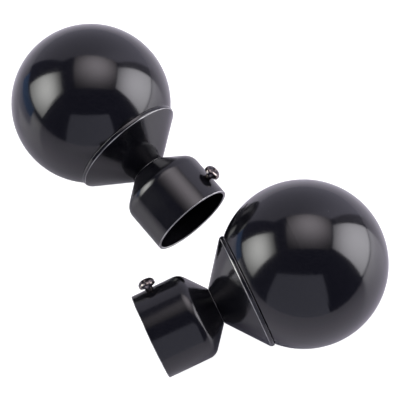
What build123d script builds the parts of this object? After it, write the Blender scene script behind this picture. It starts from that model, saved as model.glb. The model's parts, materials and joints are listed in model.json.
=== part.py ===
from build123d import *
import math
import os

# A pair of ball finials for a 28.6 mm (1 1/8 in) curtain rod, lying side by side on a flat surface.
# Each finial: a hollow ball on a flared cup, joined at a narrow neck to a conical socket that slips
# over the rod's end and is clamped by one set screw.
#
# Units are millimetres. Every piece is first made in the finial's own frame, where the ball's centre
# is the origin, +X runs along the finial towards the socket's mouth, and +Z is the side that ends up
# on top. place() then lays the finial on the surface z = 0. The pair's origin is the middle of the
# pair's outline, on that surface.

# ---- Ball ------------------------------------------------------------------------------------
BALL_RADIUS = 30.0
BALL_WALL = 0.8

# ---- Cup and neck ----------------------------------------------------------------------------
CUP_WALL = 1.0
CUP_RIM_RADIUS = 21.4
CUP_RIM_BEND = 1.5
CUP_LIP_GAP = 0.5
CUP_LIP_ROUND = 0.2
CUP_FLARE = 52.2
CUP_CLEARANCE = 0.2
NECK_RADIUS = 6.7
NECK_BEND = 1.5

# ---- Rod and socket --------------------------------------------------------------------------
ROD_DIAMETER = 28.6
ROD_CLEARANCE = 0.5
SOCKET_WALL = 1.0
SOCKET_DEPTH = 18.3
SHOULDER_FLARE = 50.9
SHOULDER_BEND = 4.8
MOUTH_ROUND = 0.25

# ---- Set screw: M3 x 3, cross-recess pan head ------------------------------------------------
SET_THREAD = 3.0
SET_LENGTH = 3.0
SET_HEAD_DIAMETER = 6.0
SET_HEAD_HEIGHT = 2.4
SET_SETBACK = 7.0
THREAD_CLEARANCE = 0.05

# ---- Centre screw: M5 x 16, cross-recess pan head, with its washers and nut ------------------
CENTRE_THREAD = 5.0
CENTRE_LENGTH = 16.0
CENTRE_HEAD_DIAMETER = 9.5
CENTRE_HEAD_HEIGHT = 3.7
HOLE_CLEARANCE = 0.25
FLAT_WASHER_DIAMETER = 10.0
FLAT_WASHER_THICKNESS = 1.0
SPRING_WASHER_DIAMETER = 9.2
SPRING_WASHER_THICKNESS = 1.2
SPRING_WASHER_SLIT = 0.9
SPRING_WASHER_SLANT = 25.0
NUT_ACROSS_FLATS = 8.0
NUT_HEIGHT = 4.0

# ---- How the pair lies, seen from above (degrees from +X) ------------------------------------
# heading is where the mouth points. screw_turn is how far the set screw is turned about the
# finial's axis from the topmost line, towards the finial's own +Y.
PAIR_BEARING = -43.4
PAIR_GAP = 16.9
FINIALS = {
    "left": {"side": -1, "heading": -48.8, "screw_turn": 43.0},
    "right": {"side": 1, "heading": 201.4, "screw_turn": -40.0},
}

# ---- Sizes that follow -----------------------------------------------------------------------
SOCKET_INNER = ROD_DIAMETER / 2 + ROD_CLEARANCE
SOCKET_OUTER = SOCKET_INNER + SOCKET_WALL
CUP_LIP_X = math.sqrt(BALL_RADIUS**2 - CUP_RIM_RADIUS**2) + CUP_LIP_GAP
FLARE_ANGLE = math.radians(CUP_FLARE)
FLARE_REACH = BALL_RADIUS + CUP_CLEARANCE + CUP_WALL
CUP_RIM_X = (FLARE_REACH - CUP_RIM_RADIUS * math.cos(FLARE_ANGLE)) / math.sin(FLARE_ANGLE)
NECK_X = CUP_RIM_X + (CUP_RIM_RADIUS - NECK_RADIUS) / math.tan(FLARE_ANGLE)
SHOULDER_X = NECK_X + (SOCKET_OUTER - NECK_RADIUS) / math.tan(math.radians(SHOULDER_FLARE))
MOUTH_X = SHOULDER_X + SOCKET_DEPTH
SET_X = MOUTH_X - SET_SETBACK
FLAT_WASHER_X = NECK_X + SOCKET_WALL
SPRING_WASHER_X = FLAT_WASHER_X + FLAT_WASHER_THICKNESS
CENTRE_HEAD_X = SPRING_WASHER_X + SPRING_WASHER_THICKNESS
CENTRE_HOLE_RADIUS = CENTRE_THREAD / 2 + HOLE_CLEARANCE
BALL_INNER = BALL_RADIUS - BALL_WALL

# The finial rests on its ball and on the mouth's rounded rim, so its axis tips down by this angle.
RIM_X = MOUTH_X - MOUTH_ROUND
RIM_RADIUS = SOCKET_OUTER - MOUTH_ROUND
REST_TILT = math.asin((BALL_RADIUS - MOUTH_ROUND) / math.hypot(RIM_X, RIM_RADIUS)) - math.atan2(
    RIM_RADIUS, RIM_X
)


def axis_direction(heading):
    """The direction a resting finial's mouth points in."""
    turn = math.radians(heading)
    level = math.cos(REST_TILT)
    return Vector(math.cos(turn) * level, math.sin(turn) * level, -math.sin(REST_TILT))


def ball_centre(side):
    """Where the left (-1) or right (+1) ball's centre lies, with the pair's outline centred."""
    half_apart = (MOUTH_X + BALL_RADIUS + PAIR_GAP) / 2
    bearing = math.radians(PAIR_BEARING)
    forward = -axis_direction(FINIALS["right"]["heading"]).Y
    mouth_reach = RIM_X * forward + RIM_RADIUS * math.sqrt(1 - forward**2) + MOUTH_ROUND
    return Vector(
        side * half_apart * math.cos(bearing),
        side * half_apart * math.sin(bearing) + (mouth_reach - BALL_RADIUS) / 2,
        BALL_RADIUS,
    )


def parallel_line(points, distance):
    """The open line through points, moved sideways by distance (to its left when positive)."""
    path = [Vector(*point) for point in points]
    sides = []
    for start, end in zip(path, path[1:]):
        along = (end - start).normalized()
        sides.append(Vector(-along.Y, along.X) * distance)
    moved = [path[0] + sides[0]]
    for corner, before, after in zip(path[1:-1], sides, sides[1:]):
        bisector = before + after
        moved.append(corner + bisector * (2 * distance**2 / bisector.dot(bisector)))
    moved.append(path[-1] + sides[-1])
    return moved


def nearest_corner(section, point):
    """The section's corner nearest to point."""
    return [section.vertices().sort_by_distance(point)[0]]


def sheet_section(points, wall, bends):
    """A folded sheet's section. points is its outer line, bends the outer radii of its corners."""
    outer = [Vector(*point) for point in points]
    inner = parallel_line(points, wall)
    section = Face(Wire.make_polygon(outer + inner[::-1], close=True))
    for corner, inner_corner, bend in zip(outer[1:-1], inner[1:-1], bends):
        section = section.fillet_2d(bend, nearest_corner(section, corner))
        section = section.fillet_2d(bend - abs(wall), nearest_corner(section, inner_corner))
    return section


def round_the_axis(section):
    """The solid that a section in the XY plane sweeps round the finial's axis."""
    return revolve(section, Axis.X, 360)


def ring(outer_radius, inner_radius, start_x, thickness):
    """A plain ring round the finial's axis."""
    section = Rectangle(thickness, outer_radius - inner_radius, align=(Align.MIN, Align.MIN))
    return round_the_axis(Pos(start_x, inner_radius) * section)


def pan_head_screw(thread, length, head_diameter, head_height):
    """A cross-recess pan-head screw on +X: the head's underside is at x = 0, the shank behind it."""
    head_radius = head_diameter / 2
    crown_radius = 1.05 * head_diameter
    crown_edge = head_height - crown_radius + math.sqrt(crown_radius**2 - head_radius**2)
    block = Rectangle(head_height, head_radius, align=(Align.MIN, Align.MIN))
    head = (block & Pos(head_height - crown_radius, 0) * Circle(crown_radius)).face()
    head = head.fillet_2d(0.38 * head_height, nearest_corner(head, (crown_edge, head_radius)))

    shank = Rectangle(length, thread / 2, align=(Align.MAX, Align.MIN)).face()
    point_chamfer = 0.1 * thread
    point = nearest_corner(shank, (-length, thread / 2))
    shank = shank.chamfer_2d(point_chamfer, point_chamfer, point)

    span = 0.53 * head_diameter
    wing = 0.15 * head_diameter
    depth = 0.65 * head_height
    cross = Box(2 * depth, span, wing) + Box(2 * depth, wing, span)
    taper = Rot(0, 90, 0) * Cone(0.2 * span, 0.5 * span, depth)
    recess = Pos(head_height, 0, 0) * cross & Pos(head_height - depth / 2, 0, 0) * taper
    return round_the_axis(head) - recess + round_the_axis(shank)


def ball_half(direction, hole_radius):
    """One drawn hemisphere of the ball; direction is +1 for the neck side, -1 for the far side."""
    wall = Circle(BALL_RADIUS) - Circle(BALL_INNER)
    quarter = Rectangle(BALL_RADIUS, BALL_RADIUS, align=(Align.CENTER, Align.MIN))
    quarter = Pos(direction * BALL_RADIUS / 2, hole_radius) * quarter
    return round_the_axis(wall & quarter)


def ball_nut():
    """The hexagon weld nut, faced to the inside of the ball."""
    blank = extrude(
        RegularPolygon(NUT_ACROSS_FLATS / 2, 6, major_radius=False), NUT_HEIGHT + BALL_WALL
    )
    nut_x = BALL_INNER - NUT_HEIGHT
    nut = Pos(nut_x, 0, 0) * Rot(0, 90, 0) * blank & Sphere(BALL_INNER)
    return nut - ring(CENTRE_THREAD / 2 + THREAD_CLEARANCE, 0, nut_x - 1, NUT_HEIGHT + 2)


def seat_cup():
    """The flared cup: its rim is faced to the ball, its end disc meets the socket's."""
    line = [
        (NECK_X, CENTRE_HOLE_RADIUS),
        (NECK_X, NECK_RADIUS),
        (CUP_RIM_X, CUP_RIM_RADIUS),
        (CUP_LIP_X, CUP_RIM_RADIUS),
    ]
    section = sheet_section(line, CUP_WALL, (NECK_BEND, CUP_RIM_BEND))
    section = section.fillet_2d(CUP_LIP_ROUND, nearest_corner(section, line[-1]))
    return round_the_axis(section - Circle(BALL_RADIUS))


def rod_socket(screw_turn):
    """The socket: end disc, conical shoulder and round wall, with the tapped hole in the wall."""
    line = [
        (NECK_X, CENTRE_HOLE_RADIUS),
        (NECK_X, NECK_RADIUS),
        (SHOULDER_X, SOCKET_OUTER),
        (MOUTH_X, SOCKET_OUTER),
    ]
    section = sheet_section(line, -SOCKET_WALL, (NECK_BEND, SHOULDER_BEND))
    for radius in (SOCKET_OUTER, SOCKET_INNER):
        section = section.fillet_2d(MOUTH_ROUND, nearest_corner(section, (MOUTH_X, radius)))
    tapped_radius = SET_THREAD / 2 + THREAD_CLEARANCE
    tapped = Cylinder(tapped_radius, 2 * SOCKET_OUTER, align=(Align.CENTER, Align.CENTER, Align.MIN))
    return round_the_axis(section) - Rot(-screw_turn, 0, 0) * Pos(SET_X, 0, 0) * tapped


def set_screw(screw_turn):
    """The set screw at rest: its point is flush with the inside of the socket's wall."""
    screw = pan_head_screw(SET_THREAD, SET_LENGTH, SET_HEAD_DIAMETER, SET_HEAD_HEIGHT)
    upright = Pos(SET_X, 0, SOCKET_INNER + SET_LENGTH) * Rot(0, -90, 0) * screw
    return Rot(-screw_turn, 0, 0) * upright


def centre_screw():
    """The screw that holds the finial together, with its head inside the socket."""
    screw = pan_head_screw(CENTRE_THREAD, CENTRE_LENGTH, CENTRE_HEAD_DIAMETER, CENTRE_HEAD_HEIGHT)
    return Pos(CENTRE_HEAD_X, 0, 0) * screw


def flat_washer():
    """The washer on the socket's end disc."""
    radius = FLAT_WASHER_DIAMETER / 2
    return ring(radius, CENTRE_HOLE_RADIUS, FLAT_WASHER_X, FLAT_WASHER_THICKNESS)


def spring_washer():
    """The split washer under the screw's head, with its slanted slit."""
    radius = SPRING_WASHER_DIAMETER / 2
    washer = ring(radius, CENTRE_HOLE_RADIUS, SPRING_WASHER_X, SPRING_WASHER_THICKNESS)
    slit = Box(4 * SPRING_WASHER_THICKNESS, SPRING_WASHER_SLIT, SPRING_WASHER_DIAMETER)
    slit_middle = Pos(SPRING_WASHER_X + SPRING_WASHER_THICKNESS / 2, 0, radius)
    return washer - slit_middle * Rot(0, 0, SPRING_WASHER_SLANT) * slit


def place(side, heading):
    """Where a finial's own frame goes: ball on the surface, mouth towards heading, tipped to rest."""
    along = axis_direction(heading)
    sideways = Vector(0, 0, 1).cross(along)
    return Plane(origin=ball_centre(side), x_dir=along, z_dir=along.cross(sideways)).location


def finial(screw_turn):
    """Every piece of one finial, in the finial's own frame."""
    return {
        "ball_outer_half": ball_half(-1, 0),
        "ball_inner_half": ball_half(1, CENTRE_HOLE_RADIUS),
        "ball_nut": ball_nut(),
        "seat_cup": seat_cup(),
        "rod_socket": rod_socket(screw_turn),
        "flat_washer": flat_washer(),
        "spring_washer": spring_washer(),
        "centre_screw": centre_screw(),
        "set_screw": set_screw(screw_turn),
    }


os.makedirs("parts", exist_ok=True)
for name, lie in FINIALS.items():
    location = place(lie["side"], lie["heading"])
    for piece_name, piece in finial(lie["screw_turn"]).items():
        export_step(location * piece, f"parts/{name}_{piece_name}.step")
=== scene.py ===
import json
import math

import bmesh
import bpy
from mathutils import Matrix, Vector


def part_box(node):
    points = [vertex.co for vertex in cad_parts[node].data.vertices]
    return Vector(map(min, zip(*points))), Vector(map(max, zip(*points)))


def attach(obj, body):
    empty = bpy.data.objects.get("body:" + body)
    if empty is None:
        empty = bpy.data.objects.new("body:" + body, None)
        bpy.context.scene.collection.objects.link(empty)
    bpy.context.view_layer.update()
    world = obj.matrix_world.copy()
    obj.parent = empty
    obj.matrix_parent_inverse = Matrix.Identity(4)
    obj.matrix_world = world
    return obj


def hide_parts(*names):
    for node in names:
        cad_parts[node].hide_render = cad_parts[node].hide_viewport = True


# The looks of a pair of black ball finials for a curtain rod. Every piece of a finial is modelled in
# the finial's own frame, in millimetres: the ball's centre is the origin, +X runs to the socket's
# mouth and +Z is the side that lies on top. placed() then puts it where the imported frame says.

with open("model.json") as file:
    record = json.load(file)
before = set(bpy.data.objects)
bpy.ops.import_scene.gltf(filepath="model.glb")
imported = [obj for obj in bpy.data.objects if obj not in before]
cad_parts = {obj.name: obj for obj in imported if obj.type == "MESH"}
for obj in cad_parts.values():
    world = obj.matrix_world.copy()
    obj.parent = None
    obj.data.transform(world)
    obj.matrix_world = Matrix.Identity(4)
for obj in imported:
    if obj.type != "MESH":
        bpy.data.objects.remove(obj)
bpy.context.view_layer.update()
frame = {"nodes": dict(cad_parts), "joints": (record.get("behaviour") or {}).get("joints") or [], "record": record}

MM = 0.001
SIDES = ("left", "right")

# ---- Finial, the CAD model's own sizes (mm) ---------------------------------------------------
BALL_RADIUS = 30.0
BALL_WALL = 0.8
CUP_WALL = 1.0
CUP_RIM_RADIUS = 21.4
CUP_RIM_BEND = 1.5
CUP_LIP_GAP = 0.5
CUP_LIP_ROUND = 0.2
CUP_FLARE = math.radians(52.2)
CUP_CLEARANCE = 0.2
NECK_RADIUS = 6.7
NECK_BEND = 1.5
SOCKET_INNER = 14.8
SOCKET_WALL = 1.0
SOCKET_DEPTH = 18.3
SHOULDER_FLARE = math.radians(50.9)
SHOULDER_BEND = 4.8
MOUTH_ROUND = 0.25
CENTRE_HOLE_RADIUS = 2.75
SET_SETBACK = 7.0
SET_HOLE_RADIUS = 1.55
WASHER_STACK = 2.2
SET_STANDOFF = 3.0

CUP_LIP_X = math.sqrt(BALL_RADIUS**2 - CUP_RIM_RADIUS**2) + CUP_LIP_GAP
FLARE_REACH = BALL_RADIUS + CUP_CLEARANCE + CUP_WALL
CUP_RIM_X = (FLARE_REACH - CUP_RIM_RADIUS * math.cos(CUP_FLARE)) / math.sin(CUP_FLARE)
NECK_X = CUP_RIM_X + (CUP_RIM_RADIUS - NECK_RADIUS) / math.tan(CUP_FLARE)
SOCKET_OUTER = SOCKET_INNER + SOCKET_WALL
SHOULDER_X = NECK_X + (SOCKET_OUTER - NECK_RADIUS) / math.tan(SHOULDER_FLARE)
MOUTH_X = SHOULDER_X + SOCKET_DEPTH
SET_X = MOUTH_X - SET_SETBACK
CENTRE_HEAD_X = NECK_X + SOCKET_WALL + WASHER_STACK

# ---- Screws (mm): thread, pitch, length, head diameter, head height -----------------------------
CENTRE_SCREW = (5.0, 0.8, 16.0, 9.5, 3.7)
SET_SCREW = (3.0, 0.5, 3.0, 6.0, 2.4)
THREAD_HEIGHT = 0.6134  # the thread's depth, in pitches
THREAD_ROWS = ((0.0, 1.0), (0.125, 1.0), (0.4375, 0.0), (0.6875, 0.0))  # along a pitch, and how high

# ---- Mesh detail ------------------------------------------------------------------------------
AROUND = 192
SCREW_AROUND = 96
THREAD_AROUND = 48
ARC_STEP = math.radians(5)
HOLD = 0.05
SHARP = math.radians(35)
HOLE_CELLS = 8
HOLE_RINGS = 3
MERGE = 1e-5
NEAR = 1e-4

# ---- Pale edge lines on the paint, partly wear and partly painted highlight: how strong, 0 to 1, and where (mm) ---
LIP_WEAR_AND_HIGHLIGHT = 0.25
CREST_PAINTED_HIGHLIGHT = 0.5
CREST_OFFSET = 0.06
CREST_HALF = 0.09
SEAM_HALF = 0.08


# ---- Outlines ---------------------------------------------------------------------------------
def rounded(corners):
    """A closed outline through (x, y, bend) corners, each rounded to its bend radius."""
    line = []
    for index, (x, y, bend) in enumerate(corners):
        corner = Vector((x, y))
        if not bend:
            line.append(corner)
            continue
        back = (Vector(corners[index - 1][:2]) - corner).normalized()
        ahead = (Vector(corners[(index + 1) % len(corners)][:2]) - corner).normalized()
        half = back.angle(ahead) / 2
        centre = corner + (back + ahead).normalized() * (bend / math.sin(half))
        start = corner + back * (bend / math.tan(half)) - centre
        turn = -start.angle_signed(corner + ahead * (bend / math.tan(half)) - centre)
        steps = max(4, math.ceil(abs(turn) / ARC_STEP))
        line += [centre + Matrix.Rotation(turn * k / steps, 2) @ start for k in range(steps + 1)]
    return line


def held(line, longest):
    """The closed outline with its long runs divided, and a point close to both ends of each."""
    out = []
    for start, end in zip(line, line[1:] + line[:1]):
        run = end - start
        out.append(start)
        if run.length <= 4 * HOLD:
            continue
        steps = max(1, math.ceil(run.length / longest - 1e-6))
        inside = [run * (k / steps) for k in range(1, steps)]
        near = run * (HOLD / run.length)
        out += [start + step for step in [near, *inside, run - near]]
    return out


def arc(radius, start, end, steps):
    """Points on a circle round the origin, from angle start to angle end."""
    turns = (start + (end - start) * k / steps for k in range(steps + 1))
    return [Vector((radius * math.cos(turn), radius * math.sin(turn))) for turn in turns]


# ---- Meshes -----------------------------------------------------------------------------------
def on_ring(x, radius, turn):
    """A point at that radius from the finial's axis; turn is measured from +Z towards +Y."""
    return Vector((x, radius * math.sin(turn), radius * math.cos(turn)))


def turned(bm, outline, around=AROUND, start=0.0, left_out=lambda row, column: False):
    """Sweeps a closed outline of (x, radius) points round the axis. Returns its rows of vertices."""
    rows = []
    for x, radius in outline:
        if radius < 1e-6:
            rows.append([bm.verts.new((x, 0, 0))] * around)
        else:
            turns = (start + math.tau * j / around for j in range(around))
            rows.append([bm.verts.new(on_ring(x, radius, turn)) for turn in turns])
    for i, (row, following) in enumerate(zip(rows, rows[1:] + rows[:1])):
        for j in range(around):
            if left_out(i, j):
                continue
            corners = [row[j], row[(j + 1) % around], following[(j + 1) % around], following[j]]
            corners = list(dict.fromkeys(corners))
            if len(corners) > 2:
                bm.faces.new(corners)
    return rows


def finished(name, bm, wear_and_painted_highlight=None):
    """The mesh, in metres, as a smooth object with sharp corners. The given function of (x, radius) says,
    from 0 to 1, how pale the paint is there: partly worn through, partly a painted highlight line."""
    if wear_and_painted_highlight:
        layer = bm.verts.layers.float.new("wear_and_painted_highlight")
        for vertex in bm.verts:
            vertex[layer] = float(wear_and_painted_highlight(vertex.co.x, vertex.co.yz.length))
    loose = [v for v in bm.verts if not v.link_faces]
    bmesh.ops.delete(bm, geom=loose, context="VERTS")
    bmesh.ops.recalc_face_normals(bm, faces=bm.faces)
    bmesh.ops.transform(bm, matrix=Matrix.Scale(MM, 4), verts=bm.verts)
    mesh = bpy.data.meshes.new(name)
    bm.to_mesh(mesh)
    bm.free()
    mesh.shade_smooth()
    mesh.set_sharp_from_angle(angle=SHARP)
    made = bpy.data.objects.new(name, mesh)
    bpy.context.scene.collection.objects.link(made)
    return made


def carved(piece, cutter):
    """The piece with the cutter's shape taken out of it, and its new edges broken a little."""
    cut = piece.modifiers.new("cut", "BOOLEAN")
    cut.operation, cut.solver, cut.object = "DIFFERENCE", "EXACT", cutter
    soften = piece.modifiers.new("soften", "BEVEL")
    soften.width, soften.segments, soften.limit_method = 0.05 * MM, 2, "ANGLE"
    soften.angle_limit = math.radians(40)
    evaluated = piece.evaluated_get(bpy.context.evaluated_depsgraph_get())
    mesh = bpy.data.meshes.new_from_object(evaluated)
    piece.modifiers.clear()
    piece.data = mesh
    mesh.shade_smooth()
    mesh.set_sharp_from_angle(angle=SHARP)
    bpy.data.objects.remove(cutter)
    return piece


def ball_shell(name, direction, hole_radius):
    """One drawn half of the ball; direction is +1 for the neck side, -1 for the far side."""
    bm = bmesh.new()
    inner_radius = BALL_RADIUS - BALL_WALL
    start = math.pi / 2
    outside = math.asin(hole_radius / BALL_RADIUS)
    inside = math.asin(hole_radius / inner_radius)
    line = arc(BALL_RADIUS, start, outside, 48) + arc(inner_radius, inside, start, 16)
    outline = [(direction * point.x, max(point.y, 0)) for point in line]
    turned(bm, outline)
    return finished(name, bm)


def cup_shell(name):
    """The flared cup, with its bent rim and the disc that meets the socket's."""
    inner_x, inner_radius = NECK_X - CUP_WALL, CUP_RIM_RADIUS - CUP_WALL
    fold = math.pi / 2 - CUP_FLARE
    corners = [
        (NECK_X, CENTRE_HOLE_RADIUS, 0),
        (NECK_X, NECK_RADIUS, NECK_BEND),
        (CUP_RIM_X, CUP_RIM_RADIUS, CUP_RIM_BEND),
        (CUP_LIP_X, CUP_RIM_RADIUS, CUP_LIP_ROUND),
        (CUP_LIP_X, math.sqrt(BALL_RADIUS**2 - CUP_LIP_X**2), 0),
        (math.sqrt(BALL_RADIUS**2 - inner_radius**2), inner_radius, 0),
        (CUP_RIM_X - CUP_WALL * math.tan(CUP_FLARE / 2), inner_radius, CUP_RIM_BEND - CUP_WALL),
        (inner_x, NECK_RADIUS - CUP_WALL * math.tan(fold / 2), NECK_BEND - CUP_WALL),
        (inner_x, CENTRE_HOLE_RADIUS, 0),
    ]

    # Pale lines: the lip's is partly worn paint and partly painted highlight; the band on the rim bend's crest and
    # the line at the neck seam are painted highlight.
    def wear_and_painted_highlight(x, radius):
        if x < CUP_LIP_X + 0.9 * CUP_LIP_ROUND and radius > CUP_RIM_RADIUS - 0.9 * CUP_LIP_ROUND:
            return LIP_WEAR_AND_HIGHLIGHT
        if radius > CUP_RIM_RADIUS - CUP_RIM_BEND and abs(x - CUP_RIM_X - CREST_OFFSET) < CREST_HALF:
            return CREST_PAINTED_HIGHLIGHT
        return NECK_X - x < SEAM_HALF and radius > NECK_RADIUS - NECK_BEND

    bm = bmesh.new()
    turned(bm, held(rounded(corners), 3.0))
    return finished(name, bm, wear_and_painted_highlight)


def socket_shell(name, screw_turn):
    """The rod's socket: end disc, conical shoulder, and round wall with the set screw's hole."""
    half = SOCKET_OUTER * math.tau / AROUND * HOLE_CELLS / 2
    fold = math.pi / 2 - SHOULDER_FLARE
    inner_shoulder = SHOULDER_X + SOCKET_WALL * math.tan(SHOULDER_FLARE / 2)
    inner_neck = NECK_RADIUS - SOCKET_WALL * math.tan(fold / 2)
    near, far = SET_X - half, SET_X + half
    corners = [
        (NECK_X, CENTRE_HOLE_RADIUS, 0),
        (NECK_X, NECK_RADIUS, NECK_BEND),
        (SHOULDER_X, SOCKET_OUTER, SHOULDER_BEND),
        (near, SOCKET_OUTER, 0),
        (far, SOCKET_OUTER, 0),
        (MOUTH_X, SOCKET_OUTER, MOUTH_ROUND),
        (MOUTH_X, SOCKET_INNER, MOUTH_ROUND),
        (far, SOCKET_INNER, 0),
        (near, SOCKET_INNER, 0),
        (inner_shoulder, SOCKET_INNER, SHOULDER_BEND - SOCKET_WALL),
        (NECK_X + SOCKET_WALL, inner_neck, NECK_BEND - SOCKET_WALL),
        (NECK_X + SOCKET_WALL, CENTRE_HOLE_RADIUS, 0),
    ]
    outline = []
    line = rounded(corners)
    for start, end in zip(line, line[1:] + line[:1]):
        outline.append(start)
        middle = (start + end) / 2
        if abs(middle.x - SET_X) < half and middle.y > SOCKET_INNER - NEAR:
            outline += [start.lerp(end, k / HOLE_CELLS) for k in range(1, HOLE_CELLS)]
        elif (end - start).length > 4 * HOLD:
            near_end = (end - start).normalized() * HOLD
            outline += [start + near_end, end - near_end]
    patches = []
    for radius in (SOCKET_OUTER, SOCKET_INNER):
        on_wall = [abs(p.y - radius) < NEAR and abs(p.x - SET_X) < half + NEAR for p in outline]
        patches.append((radius, [i for i, on in enumerate(on_wall) if on]))
    beside = HOLE_CELLS // 2

    def in_hole(row, column):
        across = column < beside or column >= AROUND - beside
        return across and any(row in inside[:-1] for _, inside in patches)

    bm = bmesh.new()
    rows = turned(bm, outline, start=screw_turn, left_out=in_hole)
    steps = range(HOLE_CELLS)
    loop = (
        [(0, k) for k in steps]
        + [(k, HOLE_CELLS) for k in steps]
        + [(HOLE_CELLS, HOLE_CELLS - k) for k in steps]
        + [(HOLE_CELLS - k, 0) for k in steps]
    )
    edges = []
    for radius, inside in patches:
        rings = [[] for _ in range(HOLE_RINGS + 1)]
        for row, column in loop:
            x = outline[inside[row]].x - SET_X
            turn_off = (column - HOLE_CELLS / 2) * math.tau / AROUND
            sideways = turn_off * SOCKET_OUTER
            reach = SET_HOLE_RADIUS / math.hypot(x, sideways)
            edge_turn = math.asin(sideways * reach / radius)
            rings[0].append(rows[inside[row]][int(column - HOLE_CELLS / 2) % AROUND])
            for k in range(1, HOLE_RINGS + 1):
                share = k / HOLE_RINGS
                at_x = SET_X + x * (1 - share + share * reach)
                at_turn = screw_turn + turn_off * (1 - share) + edge_turn * share
                rings[k].append(bm.verts.new(on_ring(at_x, radius, at_turn)))
        for ring, following in zip(rings, rings[1:]):
            bridge(bm, ring, following)
        edges.append(rings[-1])
    bridge(bm, edges[0], mirrored_loop(edges[1]))

    # Pale lines: the mouth's two rounded corners are partly a bare cut edge and partly painted highlight; the line
    # at the neck seam is painted highlight.
    def wear_and_painted_highlight(x, radius):
        face = (SOCKET_INNER + SOCKET_OUTER) / 2
        flat = SOCKET_WALL / 2 - MOUTH_ROUND
        rim = x > MOUTH_X - 0.9 * MOUTH_ROUND and abs(radius - face) > flat + 0.1 * MOUTH_ROUND
        return rim or x - NECK_X < SEAM_HALF and radius > NECK_RADIUS - NECK_BEND

    return finished(name, bm, wear_and_painted_highlight)


def mirrored_loop(ring):
    """The ring's vertices in the order that matches a patch whose rows run the other way."""
    count = len(ring)
    return [ring[(count * 3 // 4 - k) % count] for k in range(count)]


def bridge(bm, ring, following):
    """Quads between two closed rings of the same number of vertices."""
    for k in range(len(ring)):
        following_k = (k + 1) % len(ring)
        bm.faces.new([ring[k], ring[following_k], following[following_k], following[k]])


def screw(name, thread, pitch, length, head_diameter, head_height):
    """A cross-recess pan-head screw on +X: its head's underside is at x = 0, its shank behind it."""
    radius, head_radius = thread / 2, head_diameter / 2
    crown = 1.05 * head_diameter
    edge = head_height - crown + math.sqrt(crown**2 - head_radius**2)
    bend = 0.38 * head_height
    corners = [(0, 0, 0), (0, head_radius, 0.04 * head_radius), (edge, head_radius, bend), (edge, 0, 0)]
    outline = []
    for point in held(rounded(corners), 0.12 * head_diameter):
        dome = (head_height - edge) * (1 - (point.y / head_radius) ** 2) * point.x / edge
        outline.append((point.x + dome, max(point.y, 0)))
    bm = bmesh.new()
    turned(bm, outline, around=SCREW_AROUND)
    head = finished(name, bm)
    cutter = recess_cutter(name + "_cutter", head_diameter, head_height)
    return joined(carved(head, cutter), threaded_shank(name + "_shank", radius, pitch, length))


def recess_cutter(name, head_diameter, head_height):
    """The tapering cross that is taken out of a screw's head."""
    span, wing, depth = 0.53 * head_diameter, 0.15 * head_diameter, 0.65 * head_height
    cutter = bmesh.new()
    rings = []
    for x, reach, thick in ((head_height + 0.2 * depth, 1.1, 1.05), (head_height - depth, 0.42, 0.75)):
        long, short = span / 2 * reach, wing / 2 * thick
        ring = []
        for k in range(4):
            turn = Matrix.Rotation(math.radians(90) * k, 2)
            for corner in ((short, short), (short, long), (-short, long)):
                y, z = turn @ Vector(corner)
                ring.append(cutter.verts.new((x, y, z)))
        rings.append(ring)
    bridge(cutter, *rings)
    for ring in rings:
        cutter.faces.new(ring)
    return finished(name, cutter)


def threaded_shank(name, radius, pitch, length):
    """A screw's shank on -X: one helical sheet, closed at both ends, whose two ends taper away."""
    bm = bmesh.new()
    depth = THREAD_HEIGHT * pitch
    root = radius - depth
    around = THREAD_AROUND
    count = len(THREAD_ROWS)
    turns = math.ceil(length / pitch) + 1
    grid = []
    for k in range(-count, turns * count):
        offset, height = THREAD_ROWS[k % count]
        ring = []
        for j in range(around):
            along = min(max((k // count + offset + j / around) * pitch, 0), length)
            reach = min(root + depth * height, root + 1.2 * along, root + 1.2 * (length - along))
            ring.append(bm.verts.new(on_ring(0.1 * pitch - along, reach, math.tau * j / around)))
        grid.append(ring)
    for k in range(len(grid) - count - 1):
        for j in range(around):
            if j + 1 < around:
                bm.faces.new([grid[k][j], grid[k + 1][j], grid[k + 1][j + 1], grid[k][j + 1]])
            else:
                bm.faces.new([grid[k][j], grid[k + 1][j], grid[k + count + 1][0], grid[k + count][0]])
    bmesh.ops.remove_doubles(bm, verts=bm.verts, dist=MERGE)
    bmesh.ops.dissolve_degenerate(bm, dist=MERGE, edges=bm.edges)
    bmesh.ops.holes_fill(bm, edges=[e for e in bm.edges if e.is_boundary])
    return finished(name, bm)


def joined(piece, other):
    """The first piece, with the other's mesh added to it."""
    bm = bmesh.new()
    bm.from_mesh(piece.data)
    bm.from_mesh(other.data)
    bm.to_mesh(piece.data)
    bm.free()
    bpy.data.objects.remove(other)
    piece.data.shade_smooth()
    piece.data.set_sharp_from_angle(angle=SHARP)
    return piece


# ---- Materials --------------------------------------------------------------------------------
MIX_COLOURS = slice(6, 8)  # a colour Mix node's two colour inputs
MIX_RESULT = 2


def new_material(name, metallic=0.0, **constants):
    """A Principled material. constants are sockets that are the same all over."""
    material = bpy.data.materials.new(name)
    material.use_nodes = True
    tree = material.node_tree
    shader = tree.nodes["Principled BSDF"]
    shader.inputs["Metallic"].default_value = metallic
    for socket, value in constants.items():
        shader.inputs[socket.replace("_", " ")].default_value = value
    place = tree.nodes.new("ShaderNodeTexCoord").outputs["Object"]
    return material, tree, shader, place


def noise(tree, place, scale, detail=2.0):
    """A noise texture's factor. scale is in blotches per metre."""
    node = tree.nodes.new("ShaderNodeTexNoise")
    node.inputs["Scale"].default_value = scale
    node.inputs["Detail"].default_value = detail
    tree.links.new(place, node.inputs["Vector"])
    return node.outputs["Fac"]


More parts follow.
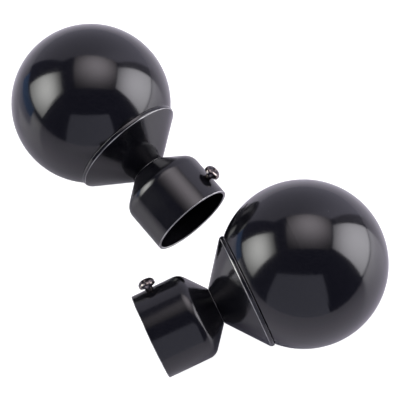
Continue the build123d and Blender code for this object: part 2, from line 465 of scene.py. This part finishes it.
def ranged(tree, factor, low, high, from_low=0.3, from_high=0.7):
    """The factor, spread from low to high."""
    node = tree.nodes.new("ShaderNodeMapRange")
    node.inputs["From Min"].default_value = from_low
    node.inputs["From Max"].default_value = from_high
    node.inputs["To Min"].default_value = low
    node.inputs["To Max"].default_value = high
    tree.links.new(factor, node.inputs["Value"])
    return node.outputs["Result"]


def mixed(tree, factor, first, second):
    """A colour between two, each a colour or another colour socket."""
    node = tree.nodes.new("ShaderNodeMix")
    node.data_type = "RGBA"
    tree.links.new(factor, node.inputs["Factor"])
    for socket, value in zip(node.inputs[MIX_COLOURS], (first, second)):
        if isinstance(value, tuple):
            socket.default_value = (*value, 1)
        else:
            tree.links.new(value, socket)
    return node.outputs[MIX_RESULT]


def bumped(tree, height, distance, below=None):
    """A bump of that height in metres, on top of another bump if below is given."""
    node = tree.nodes.new("ShaderNodeBump")
    node.inputs["Strength"].default_value = 1.0
    node.inputs["Distance"].default_value = distance
    tree.links.new(height, node.inputs["Height"])
    if below:
        tree.links.new(below, node.inputs["Normal"])
    return node.outputs["Normal"]


def specks(tree, place, scale, share, size):
    """1 in a few scattered round specks and 0 elsewhere: share of the cells have one."""
    cells = tree.nodes.new("ShaderNodeTexVoronoi")
    cells.inputs["Scale"].default_value = scale
    tree.links.new(place, cells.inputs["Vector"])
    near = ranged(tree, cells.outputs["Distance"], 1.0, 0.0, size * 0.6, size)
    split = tree.nodes.new("ShaderNodeSeparateColor")
    tree.links.new(cells.outputs["Color"], split.inputs["Color"])
    chosen = ranged(tree, split.outputs["Red"], 0.0, 1.0, 1 - share, 1 - share + 0.002)
    return product(tree, near, chosen)


def product(tree, first, second):
    """The product of two factors."""
    node = tree.nodes.new("ShaderNodeMath")
    node.operation = "MULTIPLY"
    tree.links.new(first, node.inputs[0])
    tree.links.new(second, node.inputs[1])
    return node.outputs[0]


def black_paint(name, roughness, grain_height):
    """High-gloss black lacquer: faint orange peel, fine grain, smudges, a few specks of dust, and pale
    lines on edges, partly worn-through paint and partly painted highlight. roughness is its (low, high)."""
    material, tree, shader, place = new_material(name, IOR=1.5)
    smudge = noise(tree, place, 45, 4)
    peel = noise(tree, place, 420, 2)
    grain = noise(tree, place, 1900, 2)
    dust = specks(tree, place, 260, 0.05, 0.05)
    shade = mixed(tree, ranged(tree, grain, 0, 1), (0.0008, 0.0009, 0.0018), (0.0058, 0.0058, 0.0070))
    colour = mixed(tree, dust, shade, (0.05, 0.05, 0.055))
    # The pale, partly metallic mix on edges is partly worn-through paint and partly painted highlight.
    edge = tree.nodes.new("ShaderNodeAttribute")
    edge.attribute_name = "wear_and_painted_highlight"
    bare_and_painted_highlight = product(tree, edge.outputs["Fac"], ranged(tree, noise(tree, place, 150, 5), 0.15, 1.0))
    tree.links.new(mixed(tree, bare_and_painted_highlight, colour, (0.92, 0.92, 0.91)), shader.inputs["Base Color"])
    tree.links.new(ranged(tree, bare_and_painted_highlight, 0, 0.5, 0, 1), shader.inputs["Metallic"])
    tree.links.new(ranged(tree, smudge, *roughness), shader.inputs["Roughness"])
    waves = bumped(tree, peel, 0.0000012)
    tree.links.new(bumped(tree, grain, grain_height, waves), shader.inputs["Normal"])
    return material


def blackened_screw():
    """Bright black-nickel plating with a little brown where it wears, and fine rolling marks."""
    material, tree, shader, place = new_material("black_nickel", metallic=1.0)
    patches = noise(tree, place, 900, 4)
    marks = noise(tree, place, 4200, 3)
    wear_and_painted_highlight = ranged(tree, patches, 0, 1, 0.45, 0.75)
    colour = mixed(tree, wear_and_painted_highlight, (0.06, 0.056, 0.06), (0.34, 0.29, 0.26))
    tree.links.new(colour, shader.inputs["Base Color"])
    tree.links.new(ranged(tree, marks, 0.10, 0.22), shader.inputs["Roughness"])
    tree.links.new(bumped(tree, marks, 0.000008), shader.inputs["Normal"])
    return material


def zinc_steel():
    """Zinc plate: pale grey, faintly blotched, with fine rolling marks."""
    material, tree, shader, place = new_material("zinc_plate", metallic=1.0)
    blotches = noise(tree, place, 700, 5)
    marks = noise(tree, place, 3200, 3)
    colour = mixed(tree, ranged(tree, blotches, 0, 1), (0.50, 0.51, 0.54), (0.66, 0.66, 0.65))
    tree.links.new(colour, shader.inputs["Base Color"])
    tree.links.new(ranged(tree, marks, 0.26, 0.42), shader.inputs["Roughness"])
    tree.links.new(bumped(tree, marks, 0.000005), shader.inputs["Normal"])
    return material


PAINT = black_paint("gloss_black_paint", (0.10, 0.15), 0.0000022)
SOCKET_PAINT = black_paint("socket_black_paint", (0.14, 0.20), 0.0000045)
SCREW_BLACK = blackened_screw()
ZINC = zinc_steel()


# ---- The two finials --------------------------------------------------------------------------
def finial_frame(side):
    """The finial's own frame: the ball's centre, and the axis of the bore towards the mouth."""
    corners = [*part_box(f"{side}_ball_outer_half"), *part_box(f"{side}_ball_inner_half")]
    low = [min(corner[k] for corner in corners) for k in range(3)]
    high = [max(corner[k] for corner in corners) for k in range(3)]
    centre = (Vector(low) + Vector(high)) / 2
    bore = next(m for m in frame["record"]["mounts"] if m["name"] == f"{side}_rod_bore")
    along = Vector(bore["axis"]).normalized()
    across = Vector((0, 0, 1)).cross(along).normalized()
    turn = Matrix((along, across, along.cross(across))).transposed()
    return Matrix.Translation(centre) @ turn.to_4x4()


def set_screw_turn(side, place):
    """How far the set screw is turned about the finial's axis, from its +Z towards its +Y."""
    joint = next(j for j in frame["joints"] if j["name"] == f"{side}_set_screw_travel")
    own = place.to_3x3().inverted() @ Vector(joint["axis"])
    return math.atan2(own.y, own.z)


def placed(piece, place, node, material, body):
    """Puts a piece's mesh where its CAD node is, in that material, on that body."""
    piece.data.transform(place)
    piece.data.materials.clear()
    piece.data.materials.append(material)
    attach(piece, body)
    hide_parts(node)


for side in SIDES:
    place = finial_frame(side)
    turn = set_screw_turn(side, place)
    body = f"{side}_finial"
    far_shell = ball_shell(f"{side}_ball_far_shell", -1, 0)
    near_shell = ball_shell(f"{side}_ball_near_shell", 1, CENTRE_HOLE_RADIUS)
    placed(far_shell, place, f"{side}_ball_outer_half", PAINT, body)
    placed(near_shell, place, f"{side}_ball_inner_half", PAINT, body)
    placed(cup_shell(f"{side}_cup_shell"), place, f"{side}_seat_cup", PAINT, body)
    placed(socket_shell(f"{side}_socket_shell", turn), place, f"{side}_rod_socket", SOCKET_PAINT, body)

    core = screw(f"{side}_core_screw", *CENTRE_SCREW)
    at = place @ Matrix.Translation((CENTRE_HEAD_X * MM, 0, 0))
    placed(core, at, f"{side}_centre_screw", ZINC, body)
    clamp = screw(f"{side}_clamp_screw", *SET_SCREW)
    outward = Vector((0, math.sin(turn), math.cos(turn)))
    upright = Matrix.Rotation(-turn, 4, "X") @ Matrix.Rotation(math.radians(-90), 4, "Y")
    stand = Matrix.Translation(outward * (SOCKET_INNER + SET_STANDOFF) * MM + Vector((SET_X * MM, 0, 0)))
    placed(clamp, place @ stand @ upright, f"{side}_set_screw", SCREW_BLACK, f"{side}_set_screw")

    for node in ("ball_nut", "flat_washer", "spring_washer"):
        cad = frame["nodes"][f"{side}_{node}"]
        cad.data.materials.clear()
        cad.data.materials.append(ZINC)


# ---- Studio (m) -------------------------------------------------------------------------------
SIDE_X = 1.05
BACK_Y = 0.75
BACKDROP_RIGHT = 0.80
BACKDROP_TOP = 1.13
SHEET_Z = 1.15
FRONT_Y = -0.30
BLUE_X = -0.25
TABLE_FRONT = -0.165
TABLE_Z = -0.0002
FLOOR_Z = -0.0001
FLOOR_HALF = 4.0
EVEN = 9.0  # a spread so wide that a glow hardly fades along that axis


def card(name, corners, material):
    """A flat four-cornered card that the finials mirror and are lit by, out of the camera's sight."""
    mesh = bpy.data.meshes.new(name)
    mesh.from_pydata(corners, [], [(0, 1, 2, 3)])
    made = bpy.data.objects.new(name, mesh)
    bpy.context.scene.collection.objects.link(made)
    mesh.materials.append(material)
    return made


def glow(name, colour, peak, centre, spread, least=0.0):
    """An emission that is brightest at centre and fades over spread (metres in x, y and z)."""
    material = bpy.data.materials.new(name)
    material.use_nodes = True
    tree = material.node_tree
    tree.nodes.clear()
    out = tree.nodes.new("ShaderNodeOutputMaterial")
    light = tree.nodes.new("ShaderNodeEmission")
    light.inputs["Color"].default_value = (*colour, 1)
    tree.links.new(light.outputs[0], out.inputs["Surface"])
    position = tree.nodes.new("ShaderNodeNewGeometry").outputs["Position"]
    away = tree.nodes.new("ShaderNodeVectorMath")
    away.operation = "SUBTRACT"
    away.inputs[1].default_value = centre
    tree.links.new(position, away.inputs[0])
    scaled = tree.nodes.new("ShaderNodeVectorMath")
    scaled.operation = "DIVIDE"
    scaled.inputs[1].default_value = spread
    tree.links.new(away.outputs[0], scaled.inputs[0])
    square = tree.nodes.new("ShaderNodeVectorMath")
    square.operation = "DOT_PRODUCT"
    tree.links.new(scaled.outputs[0], square.inputs[0])
    tree.links.new(scaled.outputs[0], square.inputs[1])
    halved = tree.nodes.new("ShaderNodeMath")
    halved.operation = "MULTIPLY"
    halved.inputs[1].default_value = -0.5
    tree.links.new(square.outputs["Value"], halved.inputs[0])
    fade = tree.nodes.new("ShaderNodeMath")
    fade.operation = "EXPONENT"
    tree.links.new(halved.outputs[0], fade.inputs[0])
    level = tree.nodes.new("ShaderNodeMath")
    level.operation = "MULTIPLY_ADD"
    level.inputs[1].default_value = peak - least
    level.inputs[2].default_value = least
    tree.links.new(fade.outputs[0], level.inputs[0])
    tree.links.new(level.outputs[0], light.inputs["Strength"])
    return material


def upright_card(name, x, y, z, material):
    """A vertical card; one of x and y is a number and the other a (low, high) pair."""
    if isinstance(x, tuple):
        corners = [(x[0], y, z[0]), (x[1], y, z[0]), (x[1], y, z[1]), (x[0], y, z[1])]
    else:
        corners = [(x, y[0], z[0]), (x, y[1], z[0]), (x, y[1], z[1]), (x, y[0], z[1])]
    return card(name, corners, material)


def level_card(name, x, y, z, material):
    """A horizontal card."""
    corners = [(x[0], y[0], z), (x[1], y[0], z), (x[1], y[1], z), (x[0], y[1], z)]
    return card(name, corners, material)


def studio_cards():
    """What the paint mirrors besides the table: soft boxes at the sides, a sheet overhead, a backdrop
    with a dimmer wing, a card in front and a low blue strip."""
    even = (EVEN, EVEN, EVEN)
    back = (0.0, BACKDROP_TOP)
    left = glow("left_softbox", (0.995, 1.0, 0.975), 8.4, (-SIDE_X, -0.02, 0.62), (EVEN, 0.45, 0.36))
    right = glow("right_softbox", (0.96, 0.94, 1.0), 7.2, (SIDE_X, 0.15, 0.56), (EVEN, 0.60, 0.62))
    above = glow("overhead_sheet", (1.0, 0.92, 0.99), 3.5, (0.16, 0.36, SHEET_Z), (0.38, 0.35, EVEN))
    behind = glow("backdrop", (0.84, 0.81, 1.0), 1.2, (0.75, BACK_Y, 0.9), (0.35, EVEN, 0.9), 0.69)
    wing = glow("backdrop_wing", (0.86, 0.82, 1.0), 0.42, (0.9, BACK_Y, 0.5), even)
    front = glow("front_card", (0.80, 0.80, 1.0), 0.86, (0.25, FRONT_Y, 0.1), (0.22, EVEN, EVEN), 0.74)
    blue = glow("blue_strip", (0.30, 0.51, 1.0), 0.7, (BLUE_X, 0.08, 0.0), even)
    return [
        upright_card("left_softbox", -SIDE_X, (-0.41, 0.39), (0.08, 1.33), left),
        upright_card("right_softbox", SIDE_X, (-0.295, 0.67), (0.02, 1.46), right),
        level_card("overhead_sheet", (-0.45, 0.77), (-0.32, BACK_Y), SHEET_Z, above),
        upright_card("backdrop", (-0.87, BACKDROP_RIGHT), BACK_Y, back, behind),
        upright_card("backdrop_wing", (BACKDROP_RIGHT, SIDE_X), BACK_Y, back, wing),
        upright_card("front_card", (-0.226, 0.172), FRONT_Y, (-0.12, 0.264), front),
        upright_card("blue_strip", BLUE_X, (0.0, 0.165), (0.0, 0.045), blue),
    ]


def table_material():
    """The white, slightly glossy table that the finials lie on."""
    material, tree, shader, place = new_material("white_table", IOR=1.33)
    mottle = noise(tree, place, 6, 2)
    colour = mixed(tree, ranged(tree, mottle, 0, 1), (0.67, 0.655, 0.71), (0.71, 0.695, 0.75))
    tree.links.new(colour, shader.inputs["Base Color"])
    tree.links.new(ranged(tree, mottle, 0.12, 0.16), shader.inputs["Roughness"])
    return material


def seen_floor_material():
    """The pale floor as the camera sees it: burnt out to white."""
    material, tree, shader, place = new_material("pale_floor", Roughness=0.9)
    mottle = noise(tree, place, 6, 2)
    colour = mixed(tree, ranged(tree, mottle, 0, 1), (0.30, 0.30, 0.30), (0.31, 0.31, 0.31))
    tree.links.new(colour, shader.inputs["Base Color"])
    shader.inputs["Emission Color"].default_value = (1, 1, 1, 1)
    shader.inputs["Emission Strength"].default_value = 1.0
    return material


mirrored = studio_cards()
table_span = (-SIDE_X, SIDE_X), (TABLE_FRONT, BACK_Y)
mirrored.append(level_card("table", *table_span, TABLE_Z, table_material()))
for stage in mirrored:
    stage.visible_camera = False
floor_span = (-FLOOR_HALF, FLOOR_HALF)
floor = level_card("floor", floor_span, floor_span, FLOOR_Z, seen_floor_material())
floor.visible_glossy = False
floor.visible_diffuse = False
floor.visible_transmission = False
floor.visible_shadow = False

world = bpy.data.worlds.new("studio")
bpy.context.scene.world = world
world.use_nodes = True
nodes, links = world.node_tree.nodes, world.node_tree.links
background = nodes["Background"]
path = nodes.new("ShaderNodeLightPath")
seen = path.outputs["Is Camera Ray"]
links.new(mixed(world.node_tree, seen, (0.08, 0.08, 0.14), (1, 1, 1)), background.inputs["Color"])

# ---- Camera -----------------------------------------------------------------------------------
AIM = Vector((0.00218, 0.01668, 0.0))
DISTANCE = 0.7233
ELEVATION = math.radians(53.43)
SENSOR = 36.0
LENS = 170.3

camera = bpy.data.objects.new("camera", bpy.data.cameras.new("camera"))
bpy.context.scene.collection.objects.link(camera)
camera.data.sensor_width = SENSOR
camera.data.lens = LENS
camera.location = AIM + DISTANCE * Vector((0, -math.cos(ELEVATION), math.sin(ELEVATION)))
camera.rotation_euler = (math.pi / 2 - ELEVATION, 0, 0)
bpy.context.scene.camera = camera
bpy.context.scene.view_settings.view_transform = "Standard"
